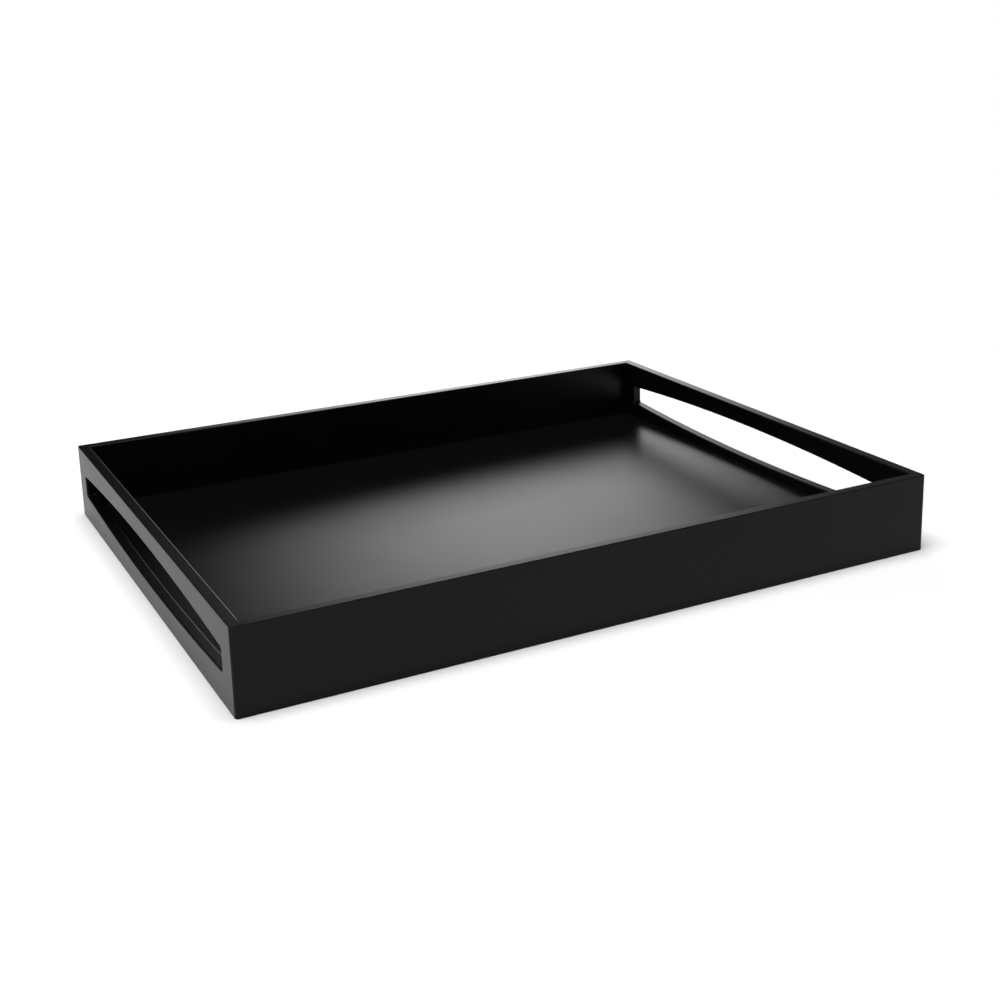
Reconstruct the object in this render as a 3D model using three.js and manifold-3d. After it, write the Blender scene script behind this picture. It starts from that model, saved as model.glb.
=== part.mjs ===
// A rectangular serving tray whose handles are long slots cut through its two end walls.
// The walls are mitred boards, a hidden spline holds each corner, and the floor panel sits in a groove.
// Sizes are in millimetres and +Z is up. The origin lies on the table under the middle of the tray,
// X runs along the long walls and Y runs from the front wall to the back wall.

import * as THREE from 'three';
import { mergeVertices, toCreasedNormals } from 'three/addons/utils/BufferGeometryUtils.js';
import Module from 'manifold-3d';

// Overall sizes
const trayLength = 450;
const trayWidth = 350;
const trayHeight = 50;

// Walls
const wallThickness = 7;
const cornerRadius = 2; // upright outer corners, seen from above
const edgeRadius = 0.5; // rim and foot edges, on both faces
const mitreGap = 0.1; // glue line between two mitre faces

// Handle slot in each end wall
const slotEndMargin = 18; // wood between a slot end and the tray's outer corner
const gripHeight = 12.3; // wood above the middle of the slot
const sillHeight = 13.2; // wood below the middle of the slot
const slotBow = 5.6; // how far each long edge of the slot curves away from its ends
const slotCornerRadius = 1.5;
const slotEdgeRadius = 1; // round-over on both faces of the wall

// Floor panel and the groove that holds it
const panelThickness = 4;
const panelRise = 3.6; // from the table to the panel's underside
const panelCornerRadius = 1;
const grooveDepth = 3;
const panelClearance = 0.2; // on each face and edge of the panel

// Loose spline in each mitred corner
const splineThickness = 1.5;
const splineWidth = 5;
const splineEdgeRadius = 0.5;
const splineSetback = 2.5; // from the inside corner to the spline's middle, square to either wall
const splineTopCover = 9; // wood between the spline's top end and the rim
const splineFootCover = 4; // wood between the panel groove and the spline's lower end
const splineClearance = 0.25; // on each face and end of the spline

// Fineness of the curved surfaces
const roundFacets = 3; // in a quarter turn of a small radius
const bowFacets = 16; // along one long edge of the slot
const creaseAngle = THREE.MathUtils.degToRad(40);

// How far a cutting tool runs past the surface that it cuts
const cutOvershoot = 0.02;
const planOvershoot = 1;

const quarterTurn = Math.PI / 2;
const eighthTurn = Math.PI / 4;

// Heights and depths that mating pieces share
const grooveBottom = panelRise - panelClearance;
const grooveTop = panelRise + panelThickness + panelClearance;
const grooveBack = wallThickness - grooveDepth;
const panelInset = grooveBack + panelClearance;
const splineInset = wallThickness - splineSetback;
const splineFoot = grooveTop + splineFootCover;
const splineLength = trayHeight - splineTopCover - splineFoot;

const wasm = await Module();
wasm.setup();

// Points along an arc, both ends included.
function arc(centreX, centreY, radius, from, to, facets) {
  return Array.from({ length: facets + 1 }, (_, step) => {
    const angle = from + ((to - from) * step) / facets;
    return new THREE.Vector2(centreX + radius * Math.cos(angle), centreY + radius * Math.sin(angle));
  });
}

// A closed outline through the points, leaving out any point that repeats the one before it.
function outline(points) {
  const tiny = 1e-6;
  return new THREE.Shape(points.filter((point, i) => point.distanceTo(points.at(i - 1)) > tiny));
}

function roundedRectangle(length, width, radius) {
  const x = length / 2 - radius;
  const y = width / 2 - radius;
  const corners = [[x, y], [-x, y], [-x, -y], [x, -y]];
  return outline(corners.flatMap(([cornerX, cornerY], turn) => {
    const from = turn * quarterTurn;
    return arc(cornerX, cornerY, radius, from, from + quarterTurn, roundFacets);
  }));
}

function prism(shape, height) {
  return new THREE.ExtrudeGeometry(shape, { depth: height, bevelEnabled: false });
}

// A prism centred on the XY plane that widens to a round flare at both ends, for cutting a hole with
// rounded-over rims.
function flaredPrism(shape, height, flare) {
  const straight = height - 2 * flare;
  const settings = {
    depth: straight,
    bevelThickness: flare,
    bevelSize: -flare,
    bevelOffset: flare,
    bevelSegments: roundFacets,
  };
  return new THREE.ExtrudeGeometry(shape, settings).translate(0, 0, -straight / 2);
}

// A solid for cutting and joining, from any closed geometry.
function solid(geometry) {
  const bare = geometry.clone();
  bare.deleteAttribute('normal');
  bare.deleteAttribute('uv');
  const welded = mergeVertices(bare);
  const vertProperties = new Float32Array(welded.attributes.position.array);
  const triVerts = new Uint32Array(welded.index.array);
  return new wasm.Manifold(new wasm.Mesh({ numProp: 3, vertProperties, triVerts }));
}

function geometryOf(body) {
  const { vertProperties, triVerts } = body.getMesh();
  const geometry = new THREE.BufferGeometry();
  geometry.setAttribute('position', new THREE.BufferAttribute(vertProperties, 3));
  geometry.setIndex(new THREE.BufferAttribute(triVerts, 1));
  return toCreasedNormals(geometry, creaseAngle);
}

// A wall is drawn with its length along X, its outer face at Y = 0, its inner face at
// Y = wallThickness and its foot at Z = 0.

// The board's cross-section: eased edges and the groove for the floor panel.
function wallProfile() {
  const outer = edgeRadius;
  const inner = wallThickness - edgeRadius;
  const foot = edgeRadius;
  const rim = trayHeight - edgeRadius;
  const eased = (across, up, turn) =>
    arc(across, up, edgeRadius, turn * quarterTurn, (turn + 1) * quarterTurn, roundFacets);
  return outline([
    ...eased(outer, foot, 2),
    ...eased(inner, foot, 3),
    new THREE.Vector2(wallThickness, grooveBottom),
    new THREE.Vector2(grooveBack, grooveBottom),
    new THREE.Vector2(grooveBack, grooveTop),
    new THREE.Vector2(wallThickness, grooveTop),
    ...eased(inner, rim, 0),
    ...eased(outer, rim, 1),
  ]);
}

// The straight board before its ends are cut.
function board(length) {
  const acrossUpAlong = new THREE.Matrix4().makeBasis(
    new THREE.Vector3(0, 1, 0),
    new THREE.Vector3(0, 0, 1),
    new THREE.Vector3(1, 0, 0),
  );
  return prism(wallProfile(), length).translate(0, 0, -length / 2).applyMatrix4(acrossUpAlong);
}

// What the mitre saw leaves of the board, seen from above, with the tray's corners rounded.
function mitrePlan(length) {
  const half = length / 2;
  const centreX = half - cornerRadius;
  const setback = mitreGap * Math.SQRT1_2;
  const reach = wallThickness + planOvershoot;
  const gapAngle = Math.asin(mitreGap / 2 / cornerRadius);
  const sweep = eighthTurn - gapAngle;
  const down = -quarterTurn;
  return outline([
    ...arc(-centreX, cornerRadius, cornerRadius, down - sweep, down, roundFacets),
    ...arc(centreX, cornerRadius, cornerRadius, down, down + sweep, roundFacets),
    new THREE.Vector2(half - reach - setback, reach),
    new THREE.Vector2(reach + setback - half, reach),
  ]);
}

function mitreTool(length) {
  return prism(mitrePlan(length), trayHeight + 2 * planOvershoot).translate(0, 0, -planOvershoot);
}

// The pocket for half of a corner spline, at the wall's left (-1) or right (+1) end.
function splinePocket(length, side) {
  const tool = new THREE.BoxGeometry(
    splineWidth + 2 * splineClearance,
    splineThickness + 2 * splineClearance,
    splineLength + 2 * splineClearance,
  );
  return tool
    .rotateZ(side * eighthTurn)
    .translate(side * (length / 2 - splineInset), splineInset, splineFoot + splineLength / 2);
}

// A barrel-shaped opening: short upright ends, and long edges that bow out between rounded corners.
function slotOutline(length) {
  const half = length / 2 - slotEndMargin;
  const bowRadius = (half ** 2 + slotBow ** 2) / (2 * slotBow);
  const cornerX = half - slotCornerRadius;
  const cornerDrop = Math.sqrt((bowRadius - slotCornerRadius) ** 2 - cornerX ** 2);
  const lowerCentre = sillHeight + bowRadius;
  const upperCentre = trayHeight - gripHeight - bowRadius;
  const lowerCorner = lowerCentre - cornerDrop;
  const upperCorner = upperCentre + cornerDrop;
  const meet = Math.atan2(cornerDrop, cornerX); // where a long edge runs into a rounded corner
  const rounded = (centreX, centreY, from, to) =>
    arc(centreX, centreY, slotCornerRadius, from, to, roundFacets);
  return outline([
    ...arc(0, lowerCentre, bowRadius, meet - Math.PI, -meet, bowFacets),
    ...rounded(cornerX, lowerCorner, -meet, 0),
    ...rounded(cornerX, upperCorner, 0, meet),
    ...arc(0, upperCentre, bowRadius, meet, Math.PI - meet, bowFacets),
    ...rounded(-cornerX, upperCorner, Math.PI - meet, Math.PI),
    ...rounded(-cornerX, lowerCorner, Math.PI, Math.PI + meet),
  ]);
}

function slotTool(length) {
  const tool = flaredPrism(
    slotOutline(length),
    wallThickness + 2 * cutOvershoot,
    slotEdgeRadius + cutOvershoot,
  );
  return tool.rotateX(quarterTurn).translate(0, wallThickness / 2, 0);
}

function wall(length) {
  return solid(board(length))
    .intersect(solid(mitreTool(length)))
    .subtract(solid(splinePocket(length, -1)))
    .subtract(solid(splinePocket(length, 1)));
}

function sideWall() {
  return geometryOf(wall(trayLength));
}

function handleEnd() {
  return geometryOf(wall(trayWidth).subtract(solid(slotTool(trayWidth))));
}

function basePanel() {
  const shape = roundedRectangle(trayLength - 2 * panelInset, trayWidth - 2 * panelInset, panelCornerRadius);
  return prism(shape, panelThickness);
}

function cornerSpline() {
  return prism(roundedRectangle(splineWidth, splineThickness, splineEdgeRadius), splineLength);
}

const blackLacquer = { color: 0x0e0e0f, roughness: 0.4, metalness: 0 };
const barePlywood = { color: 0xb08d5f, roughness: 0.8, metalness: 0 };

const tray = new THREE.Group();

function place(name, geometry, finish, [x, y, z], turn = 0) {
  const mesh = new THREE.Mesh(geometry, new THREE.MeshStandardMaterial(finish));
  mesh.name = name;
  mesh.position.set(x, y, z);
  mesh.rotation.z = turn;
  tray.add(mesh);
}

place('front_wall', sideWall(), blackLacquer, [0, -trayWidth / 2, 0]);
place('back_wall', sideWall(), blackLacquer, [0, trayWidth / 2, 0], Math.PI);
place('left_handle_end', handleEnd(), blackLacquer, [-trayLength / 2, 0, 0], -quarterTurn);
place('right_handle_end', handleEnd(), blackLacquer, [trayLength / 2, 0, 0], quarterTurn);
place('base_panel', basePanel(), blackLacquer, [0, 0, panelRise]);

for (const [end, sideX] of [['left', -1], ['right', 1]]) {
  for (const [side, sideY] of [['front', -1], ['back', 1]]) {
    const x = sideX * (trayLength / 2 - splineInset);
    const y = sideY * (trayWidth / 2 - splineInset);
    const turn = -sideX * sideY * eighthTurn;
    place(`corner_spline_${side}_${end}`, cornerSpline(), barePlywood, [x, y, splineFoot], turn);
  }
}

export default tray;
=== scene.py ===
"""A black lacquered serving tray with a handle slot cut through each end wall.

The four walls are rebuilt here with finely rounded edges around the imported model. The floor panel and the
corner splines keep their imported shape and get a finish. Lengths are in metres. X runs along the long walls,
Y from the front wall to the back wall, and Z is up.
"""

from math import atan2, cos, pi, radians, sin, sqrt, tan

import bmesh
import bpy
from mathutils import Matrix, Vector


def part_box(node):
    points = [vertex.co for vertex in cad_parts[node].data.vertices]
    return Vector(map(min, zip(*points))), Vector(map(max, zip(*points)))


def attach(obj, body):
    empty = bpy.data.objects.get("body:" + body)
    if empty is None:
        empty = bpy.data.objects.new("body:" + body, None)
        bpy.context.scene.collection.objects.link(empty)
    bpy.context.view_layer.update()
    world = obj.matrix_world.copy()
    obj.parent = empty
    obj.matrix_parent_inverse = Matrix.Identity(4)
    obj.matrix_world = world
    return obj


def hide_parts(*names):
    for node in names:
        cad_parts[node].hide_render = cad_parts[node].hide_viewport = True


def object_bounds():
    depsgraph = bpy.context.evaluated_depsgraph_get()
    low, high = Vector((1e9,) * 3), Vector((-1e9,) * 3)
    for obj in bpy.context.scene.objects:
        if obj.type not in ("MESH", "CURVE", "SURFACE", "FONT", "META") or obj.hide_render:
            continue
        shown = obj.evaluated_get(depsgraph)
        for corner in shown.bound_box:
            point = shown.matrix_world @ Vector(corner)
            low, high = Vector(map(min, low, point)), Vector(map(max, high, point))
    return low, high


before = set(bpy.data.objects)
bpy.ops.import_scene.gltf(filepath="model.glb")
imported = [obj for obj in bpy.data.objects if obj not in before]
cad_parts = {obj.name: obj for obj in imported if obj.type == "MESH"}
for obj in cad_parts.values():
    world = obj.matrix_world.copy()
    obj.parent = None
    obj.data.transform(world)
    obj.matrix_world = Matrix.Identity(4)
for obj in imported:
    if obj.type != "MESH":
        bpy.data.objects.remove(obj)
model_low, model_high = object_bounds()

BODY = "root"
MM = 0.001

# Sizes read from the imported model
front_low, front_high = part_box("front_wall")
panel_low, panel_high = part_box("base_panel")
spline_low, spline_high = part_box("corner_spline_front_left")
tray_length, tray_width, tray_height = model_high - model_low
wall_thickness = front_high.y - front_low.y

# Wall edges
corner_radius = 2 * MM  # upright outer corners, seen from above
outer_rim_radius = 0.5 * MM
inner_rim_radius = 0.8 * MM
foot_radius = 0.5 * MM  # both edges that stand on the table

# Floor panel and corner splines
panel_clearance = 0.2 * MM  # between the panel and its groove
spline_clearance = 0.25 * MM
spline_thickness = 1.5 * MM
spline_width = 5 * MM
spline_inset = 4.5 * MM  # from both outer faces to the spline's middle

# Handle slot
slot_end_margin = 18 * MM
grip_height = 12.3 * MM  # wood above the middle of the slot
sill_height = 13.2 * MM  # wood below the middle of the slot
slot_bow = 5.6 * MM
slot_corner_radius = 1.5 * MM
slot_edge_radius = 1 * MM

# Fineness of the curves
round_facets = 8  # in a quarter turn
bow_facets = 96  # along one long edge of the slot
table_facets = 96
crease_angle = radians(35)
cut_overshoot = 0.005 * MM  # how far the slot tool reaches past the wall's faces

# Groove in the walls, from the panel that sits in it
groove_bottom = panel_low.z - panel_clearance
groove_top = panel_high.z + panel_clearance
groove_back = panel_low.x - model_low.x - panel_clearance


# Walls

def arc(centre_x, centre_y, radius, start, stop, facets):
    """Points along an arc, both ends included."""
    angles = [start + (stop - start) * step / facets for step in range(facets + 1)]
    return [(centre_x + radius * cos(angle), centre_y + radius * sin(angle)) for angle in angles]


def wall_profile():
    """The board's cross-section as (across, up): eased edges and the groove for the floor panel."""
    def eased(across, up, radius, turn):
        start = turn * pi / 2
        middle_x = radius if across == 0 else across - radius
        middle_y = radius if up == 0 else up - radius
        return arc(middle_x, middle_y, radius, start, start + pi / 2, round_facets)

    foot = eased(0, 0, foot_radius, 2) + eased(wall_thickness, 0, foot_radius, 3)
    rim = eased(wall_thickness, tray_height, inner_rim_radius, 0)
    rim += eased(0, tray_height, outer_rim_radius, 1)
    groove = [
        (wall_thickness, groove_bottom),
        (groove_back, groove_bottom),
        (groove_back, groove_top),
        (wall_thickness, groove_top),
    ]
    return foot + groove + rim


def end_path(across, half):
    """Where a point of the profile runs at the board's right end, as (along, across), up to the mitre.

    Points near the outer face follow the rounded corner, and the others run straight to the mitre.
    """
    run_in = half - 2 * wall_thickness
    path = [(run_in, across)]
    for step in range(round_facets + 1):
        turn = pi / 4 * step / round_facets
        if across < corner_radius:
            reach = corner_radius - across
            path.append((half - corner_radius + reach * sin(turn), corner_radius - reach * cos(turn)))
        else:
            share = (step + 1) / (round_facets + 1)
            path.append((run_in + share * (half - across - run_in), across))
    return path


def wall_mesh(length):
    """A mitred board along X, with its outer face at Y = 0 and its foot at Z = 0."""
    half = length / 2
    mesh = bmesh.new()
    strands = []
    for across, up in wall_profile():
        right = end_path(across, half)
        left = [(-along, depth) for along, depth in reversed(right)]
        strands.append([mesh.verts.new((along, depth, up)) for along, depth in left + right])
    for strand, following in zip(strands, strands[1:] + strands[:1]):
        for step in range(len(strand) - 1):
            mesh.faces.new((strand[step], strand[step + 1], following[step + 1], following[step]))
    mesh.faces.new([strand[0] for strand in strands])
    mesh.faces.new([strand[-1] for strand in strands])
    bmesh.ops.recalc_face_normals(mesh, faces=mesh.faces)
    return mesh


def slot_outline(length, widening):
    """The barrel-shaped opening as (along, up), widened all round by that much."""
    half = length / 2 - slot_end_margin
    bow_radius = (half ** 2 + slot_bow ** 2) / (2 * slot_bow)
    corner_x = half - slot_corner_radius
    drop = sqrt((bow_radius - slot_corner_radius) ** 2 - corner_x ** 2)
    lower_centre = sill_height + bow_radius
    upper_centre = tray_height - grip_height - bow_radius
    lower_corner = lower_centre - drop
    upper_corner = upper_centre + drop
    meet = atan2(drop, corner_x)  # where a long edge runs into a rounded corner
    bow = bow_radius + widening
    corner = slot_corner_radius + widening
    stretches = [
        arc(0, lower_centre, bow, meet - pi, -meet, bow_facets),
        arc(corner_x, lower_corner, corner, -meet, 0, round_facets),
        arc(corner_x, upper_corner, corner, 0, meet, round_facets),
        arc(0, upper_centre, bow, meet, pi - meet, bow_facets),
        arc(-corner_x, upper_corner, corner, pi - meet, pi, round_facets),
        arc(-corner_x, lower_corner, corner, pi, pi + meet, round_facets),
    ]
    joined = [stretches[0][0]]
    for stretch in stretches:
        joined += stretch[1:]
    return joined[:-1]


def slot_mesh(length):
    """The tool that cuts the slot: it flares at both faces of the wall, which rounds the slot's rims."""
    flare = slot_edge_radius + cut_overshoot
    rims = []
    for step in range(round_facets + 1):
        turn = pi / 2 * step / round_facets
        rims.append((flare * (1 - cos(turn)) - cut_overshoot, flare * (1 - sin(turn))))
    rims += [(wall_thickness - depth, widening) for depth, widening in reversed(rims)]
    mesh = bmesh.new()
    rings = []
    for depth, widening in rims:
        rings.append([mesh.verts.new((along, depth, up)) for along, up in slot_outline(length, widening)])
    for ring, following in zip(rings, rings[1:]):
        for step in range(len(ring)):
            mesh.faces.new((ring[step - 1], ring[step], following[step], following[step - 1]))
    mesh.faces.new(rings[0])
    mesh.faces.new(rings[-1])
    bmesh.ops.recalc_face_normals(mesh, faces=mesh.faces)
    return mesh


def spline_pocket_mesh(length, side):
    """The tool for half of a corner spline's pocket, at the wall's left (-1) or right (+1) end."""
    size = Vector((spline_width, spline_thickness, spline_high.z - spline_low.z))
    size += 2 * Vector((spline_clearance,) * 3)
    middle = Vector((side * (length / 2 - spline_inset), spline_inset, (spline_low.z + spline_high.z) / 2))
    place = Matrix.Translation(middle) @ Matrix.Rotation(side * pi / 4, 4, "Z") @ Matrix.Diagonal((*size, 1))
    mesh = bmesh.new()
    bmesh.ops.create_cube(mesh, size=1, matrix=place)
    return mesh


def object_from(mesh, name):
    data = bpy.data.meshes.new(name)
    mesh.to_mesh(data)
    mesh.free()
    made = bpy.data.objects.new(name, data)
    bpy.context.scene.collection.objects.link(made)
    return made


def cut(board, tools):
    """Cuts the tools out of the board and removes them."""
    for tool in tools:
        cutting = board.modifiers.new(tool.name, "BOOLEAN")
        cutting.operation = "DIFFERENCE"
        cutting.solver = "EXACT"
        cutting.object = tool
    bpy.context.view_layer.update()
    result = board.evaluated_get(bpy.context.evaluated_depsgraph_get())
    board.data = bpy.data.meshes.new_from_object(result)
    board.data.name = board.name
    board.modifiers.clear()
    for tool in tools:
        bpy.data.objects.remove(tool)


def smooth(board):
    """Shades the rounded edges smooth and keeps the flat faces flat."""
    mesh = bmesh.new()
    mesh.from_mesh(board.data)
    for edge in mesh.edges:
        edge.smooth = edge.calc_face_angle(pi) < crease_angle
    for face in mesh.faces:
        face.smooth = True
    mesh.to_mesh(board.data)
    mesh.free()
    weighted = board.modifiers.new("flat faces", "WEIGHTED_NORMAL")
    weighted.keep_sharp = True


def wall(name, length, turn, outer_face, has_slot=False):
    """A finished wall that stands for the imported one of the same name."""
    board = object_from(wall_mesh(length), f"{name}_lacquered")
    tools = [object_from(spline_pocket_mesh(length, side), "spline_pocket") for side in (-1, 1)]
    if has_slot:
        tools.append(object_from(slot_mesh(length), "handle_slot"))
    cut(board, tools)
    board.data.transform(Matrix.Translation(outer_face) @ Matrix.Rotation(turn, 4, "Z"))
    smooth(board)
    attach(board, BODY)
    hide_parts(name)
    return board


# Shader nodes

class Nodes:
    """The node tree of a material or a lamp, written as calls."""

    def __init__(self, tree):
        self.tree = tree

    def add(self, kind, inputs=None, **settings):
        """Adds a node. An input is a number or colour, or the output of another node."""
        node = self.tree.nodes.new(f"ShaderNode{kind}")
        for name, value in settings.items():
            setattr(node, name, value)
        for name, value in (inputs or {}).items():
            socket = next(s for s in node.inputs if name in (s.identifier, s.name))
            if isinstance(value, bpy.types.NodeSocket):
                self.tree.links.new(value, socket)
            else:
                socket.default_value = value
        return node

    def ramp(self, value, start, stop, first, last, kind="LINEAR"):
        """Goes from first to last while the value goes from start to stop, and stays level beyond."""
        ends = {"From Min": start, "From Max": stop, "To Min": first, "To Max": last}
        return self.add("MapRange", {"Value": value, **ends}, interpolation_type=kind).outputs["Result"]

    def blend(self, factor, first, second):
        """Mixes two colours."""
        inputs = {"Factor_Float": factor, "A_Color": first, "B_Color": second}
        mixed = self.add("Mix", inputs, data_type="RGBA")
        return next(output for output in mixed.outputs if output.identifier == "Result_Color")

    def calculate(self, operation, first, second):
        return self.add("Math", {"Value": first, "Value_001": second}, operation=operation).outputs["Value"]


def material_from(name, surface):
    """A material. surface takes its nodes and gives the output of the shader that covers it."""
    material = bpy.data.materials.new(name)
    material.use_nodes = True
    nodes = Nodes(material.node_tree)
    nodes.tree.nodes.clear()
    nodes.add("OutputMaterial", {"Surface": surface(nodes)})
    return material


def grey(level):
    return (level, level, level, 1)


def dress(piece, material):
    piece.data.materials.clear()
    piece.data.materials.append(material)


# Lacquer

lacquer_index = 1.23  # of refraction, low because the photo's walls reflect so little
deepest_black = 0.0018
palest_black = 0.0030
wall_roughness = 0.31
floor_roughness = 0.30
wall_cloud = 30 * MM
floor_cloud = 45 * MM
cloud_detail = 3.0
cloud_start, cloud_stop = 0.3, 0.7  # the levels of the clouds that the gloss follows
unevenness = 0.008  # of the roughness, up and down


def lacquer(name, roughness, cloud_size):
    """Satin black lacquer, whose gloss and depth of black vary in soft clouds."""
    def surface(nodes):
        place = nodes.add("TexCoord").outputs["Object"]
        noise = {"Vector": place, "Scale": 1 / cloud_size, "Detail": cloud_detail}
        clouds = nodes.add("TexNoise", noise).outputs["Fac"]
        shader = nodes.add("BsdfPrincipled", {
            "Base Color": nodes.blend(clouds, grey(deepest_black), grey(palest_black)),
            "Roughness": nodes.ramp(
                clouds, cloud_start, cloud_stop, roughness - unevenness, roughness + unevenness,
            ),
            "IOR": lacquer_index,
        })
        return shader.outputs["BSDF"]

    return material_from(name, surface)


# Plywood

dark_ply = (0.50, 0.33, 0.17, 1)
pale_ply = (0.62, 0.45, 0.26, 1)
fibre_brown = (0.36, 0.22, 0.10, 1)
wave_period = pi / 10  # length of one band in the wave texture at scale 1
ply_waviness = 0.6
ply_detail = 2.0
fibre_width = 0.25 * MM
fibre_squeeze = 0.06  # share of the spline's height in the noise, which draws the fibres out
fibre_detail = 4.0
smoothest_wood, roughest_wood = 0.6, 0.85
grain_strength = 0.6
grain_depth = 0.03 * MM


def plywood_surface(nodes):
    """Bare plywood: plies stacked across the spline, with fibres that run up it."""
    place = nodes.add("TexCoord").outputs["Object"]
    one_corner = nodes.add("VectorMath", {"Vector": place}, operation="ABSOLUTE").outputs["Vector"]
    along_mitre = nodes.add("Mapping", {"Vector": one_corner, "Rotation": (0, 0, -pi / 4)}).outputs["Vector"]
    bands = {
        "Vector": along_mitre,
        "Scale": wave_period / spline_thickness,
        "Distortion": ply_waviness,
        "Detail": ply_detail,
    }
    plies = nodes.add("TexWave", bands, bands_direction="X").outputs["Fac"]
    drawn_out = nodes.add("Mapping", {"Vector": along_mitre, "Scale": (1, 1, fibre_squeeze)})
    noise = {"Vector": drawn_out.outputs["Vector"], "Scale": 1 / fibre_width, "Detail": fibre_detail}
    fibres = nodes.add("TexNoise", noise).outputs["Fac"]
    grain = nodes.add("Bump", {"Height": fibres, "Strength": grain_strength, "Distance": grain_depth})
    shader = nodes.add("BsdfPrincipled", {
        "Base Color": nodes.blend(fibres, nodes.blend(plies, dark_ply, pale_ply), fibre_brown),
        "Roughness": nodes.ramp(fibres, 0, 1, smoothest_wood, roughest_wood),
        "Normal": grain.outputs["Normal"],
    })
    return shader.outputs["BSDF"]


# The tray

half_length, half_width = tray_length / 2, tray_width / 2
walls = [
    wall("front_wall", tray_length, 0, (0, -half_width, 0)),
    wall("back_wall", tray_length, pi, (0, half_width, 0)),
    wall("left_handle_end", tray_width, -pi / 2, (-half_length, 0, 0), has_slot=True),
    wall("right_handle_end", tray_width, pi / 2, (half_length, 0, 0), has_slot=True),
]
wall_lacquer = lacquer("wall_lacquer", wall_roughness, wall_cloud)
for board in walls:
    dress(board, wall_lacquer)
dress(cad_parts["base_panel"], lacquer("floor_lacquer", floor_roughness, floor_cloud))
bare_plywood = material_from("bare_plywood", plywood_surface)
for side in ("front", "back"):
    for end in ("left", "right"):
        dress(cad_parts[f"corner_spline_{side}_{end}"], bare_plywood)


# Table and backdrop

table_radius = 15.0
backdrop_rise = radians(4.5)  # seen from the middle of the table
backdrop_height = table_radius * tan(backdrop_rise)
plain_white = 0.95
shadow_reach = 0.26  # from the tray's middle, where the table starts to fade to its own white
white_from = 0.7  # from the tray's middle, where the table is all white
near_share = 0.05  # of the table's own white, near the tray


def seen(nodes):
    """1 for what the camera sees, also mirrored or through glass, and 0 for light that falls on things."""
    path = nodes.add("LightPath").outputs
    indirect = nodes.calculate("MAXIMUM", path["Is Glossy Ray"], path["Is Transmission Ray"])
    return nodes.calculate("MAXIMUM", path["Is Camera Ray"], indirect)


def studio_white(name, share):
    """White cloth that shows its own white by a share, and what light and shadow make of it by the rest.

    share takes the nodes and gives the share as an output.
    """
    def surface(nodes):
        cloth = nodes.add("BsdfDiffuse", {"Color": grey(plain_white)}).outputs["BSDF"]
        glow = nodes.add("Emission", {"Color": grey(1), "Strength": 1.0}).outputs["Emission"]
        factor = nodes.calculate("MULTIPLY", share(nodes), seen(nodes))
        mixed = nodes.add("MixShader", {"Fac": factor, "Shader": cloth, "Shader_001": glow})
        return mixed.outputs["Shader"]

    return material_from(name, surface)


def share_by_distance(nodes):
    """Hardly any near the tray, so that its shadow shows, and all white well away from it."""
    place = nodes.add("NewGeometry").outputs["Position"]
    distance = nodes.add("VectorMath", {"Vector": place}, operation="LENGTH").outputs["Value"]
    return nodes.ramp(distance, shadow_reach, white_from, near_share, 1, kind="SMOOTHSTEP")


def share_by_height(nodes):
    """All white at the table, fading out towards the top of the backdrop."""
    place = nodes.add("NewGeometry").outputs["Position"]
    height = nodes.add("SeparateXYZ", {"Vector": place}).outputs["Z"]
    return nodes.ramp(height, backdrop_height / 2, backdrop_height, 1, 0, kind="SMOOTHSTEP")


def table():
    mesh = bmesh.new()
    bmesh.ops.create_circle(mesh, cap_ends=True, segments=table_facets, radius=table_radius)
    made = object_from(mesh, "table")
    dress(made, studio_white("table_white", share_by_distance))


def backdrop():
    mesh = bmesh.new()
    bmesh.ops.create_circle(mesh, cap_ends=False, segments=table_facets, radius=table_radius)
    risen = bmesh.ops.extrude_edge_only(mesh, edges=mesh.edges[:])["geom"]
    top = [item for item in risen if isinstance(item, bmesh.types.BMVert)]
    bmesh.ops.translate(mesh, verts=top, vec=(0, 0, backdrop_height))
    made = object_from(mesh, "backdrop")
    dress(made, studio_white("backdrop_white", share_by_height))


table()
backdrop()


# Light

lamp_middle = (0.5, 0.5, 0)  # in a lamp's own coordinates, which run from 0 to 1 across it
lamp_edge = 0.5  # from the lamp's middle, in the same coordinates
bright_core = 0.03  # radius of the part that doesn't fade, in the same coordinates
studio_grey = 0.012  # of the dim room around the lamps


def softbox(name, shape, azimuth, elevation, distance, width, height, radiance):
    """A panel that faces the tray from that compass angle, clockwise from +Y, and that height in degrees."""
    turn, rise = radians(azimuth), radians(elevation)
    towards = Vector((sin(turn) * cos(rise), cos(turn) * cos(rise), sin(rise)))
    lamp = bpy.data.lights.new(name, "AREA")
    lamp.shape = shape
    lamp.size, lamp.size_y = width, height
    area = width * height * (pi / 4 if shape == "ELLIPSE" else 1)
    lamp.energy = pi * radiance * area
    made = bpy.data.objects.new(name, lamp)
    made.location = towards * distance
    made.rotation_euler = towards.to_track_quat("Z", "Y").to_euler()
    made.visible_camera = False
    bpy.context.scene.collection.objects.link(made)
    return lamp


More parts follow.
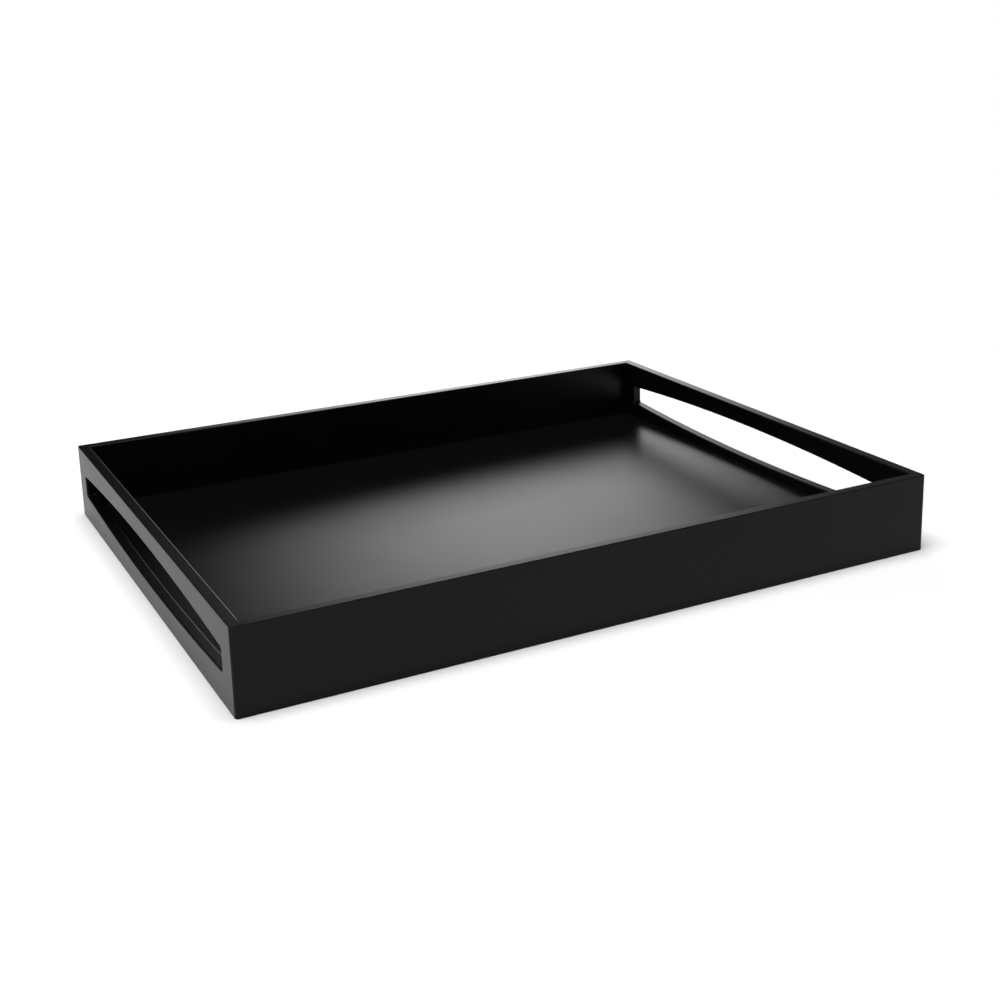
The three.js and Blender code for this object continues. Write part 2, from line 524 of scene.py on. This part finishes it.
def fade_to_edges(lamp):
    """Makes a panel brightest in the middle and dark at its edges, as a softbox with one bulb is."""
    lamp.use_nodes = True
    nodes = Nodes(lamp.node_tree)
    place = nodes.add("NewGeometry").outputs["Parametric"]
    offset = nodes.add("VectorMath", {"Vector": place, "Vector_001": lamp_middle}, operation="DISTANCE")
    fade = nodes.ramp(offset.outputs["Value"], bright_core, lamp_edge, 1, 0, kind="SMOOTHSTEP")
    nodes.tree.links.new(fade, nodes.tree.nodes["Emission"].inputs["Strength"])


softbox("top_light", "RECTANGLE", azimuth=-111, elevation=81, distance=3.0,
        width=1.43, height=2.08, radiance=10.25)
back_light = softbox("back_light", "ELLIPSE", azimuth=27.7, elevation=16.6, distance=0.9,
                     width=0.95, height=0.59, radiance=4.775)
fade_to_edges(back_light)
softbox("right_fill", "RECTANGLE", azimuth=58, elevation=20, distance=2.5,
        width=1.2, height=0.8, radiance=0.191)
side_fills = ((120, 0.675), (210, 1.006), (300, 0.764))  # compass angle and radiance
for azimuth, radiance in side_fills:
    softbox(f"side_fill_{azimuth}", "RECTANGLE", azimuth, elevation=24, distance=2.5,
            width=2.2, height=1.2, radiance=radiance)

world = bpy.data.worlds.new("dim_studio")
world.use_nodes = True
world.node_tree.nodes["Background"].inputs["Color"].default_value = grey(studio_grey)
bpy.context.scene.world = world


# Camera, fitted to the photo's outer edges

image_side = 1000
focal_pixels = 1481.0
centre_column, centre_row = 518, 370  # the pixel that the lens points at
camera_place = Vector((-408.12, -838.41, 351.46)) * MM
camera_heading = radians(27.569)  # clockwise from +Y
camera_tilt = radians(14.496)  # below the horizon
camera_roll = radians(1.254)
sensor_width = 36  # millimetres, the camera's default

lens = bpy.data.cameras.new("camera")
lens.sensor_width = sensor_width
lens.lens = sensor_width * focal_pixels / image_side
lens.shift_x = 0.5 - centre_column / image_side
lens.shift_y = centre_row / image_side - 0.5
lens.clip_end = 4 * table_radius
camera = bpy.data.objects.new("camera", lens)
level = Matrix.Rotation(-camera_heading, 4, "Z") @ Matrix.Rotation(pi / 2 - camera_tilt, 4, "X")
camera.matrix_world = Matrix.Translation(camera_place) @ level @ Matrix.Rotation(-camera_roll, 4, "Z")
bpy.context.scene.collection.objects.link(camera)
bpy.context.scene.camera = camera
bpy.context.scene.view_settings.view_transform = "Standard"
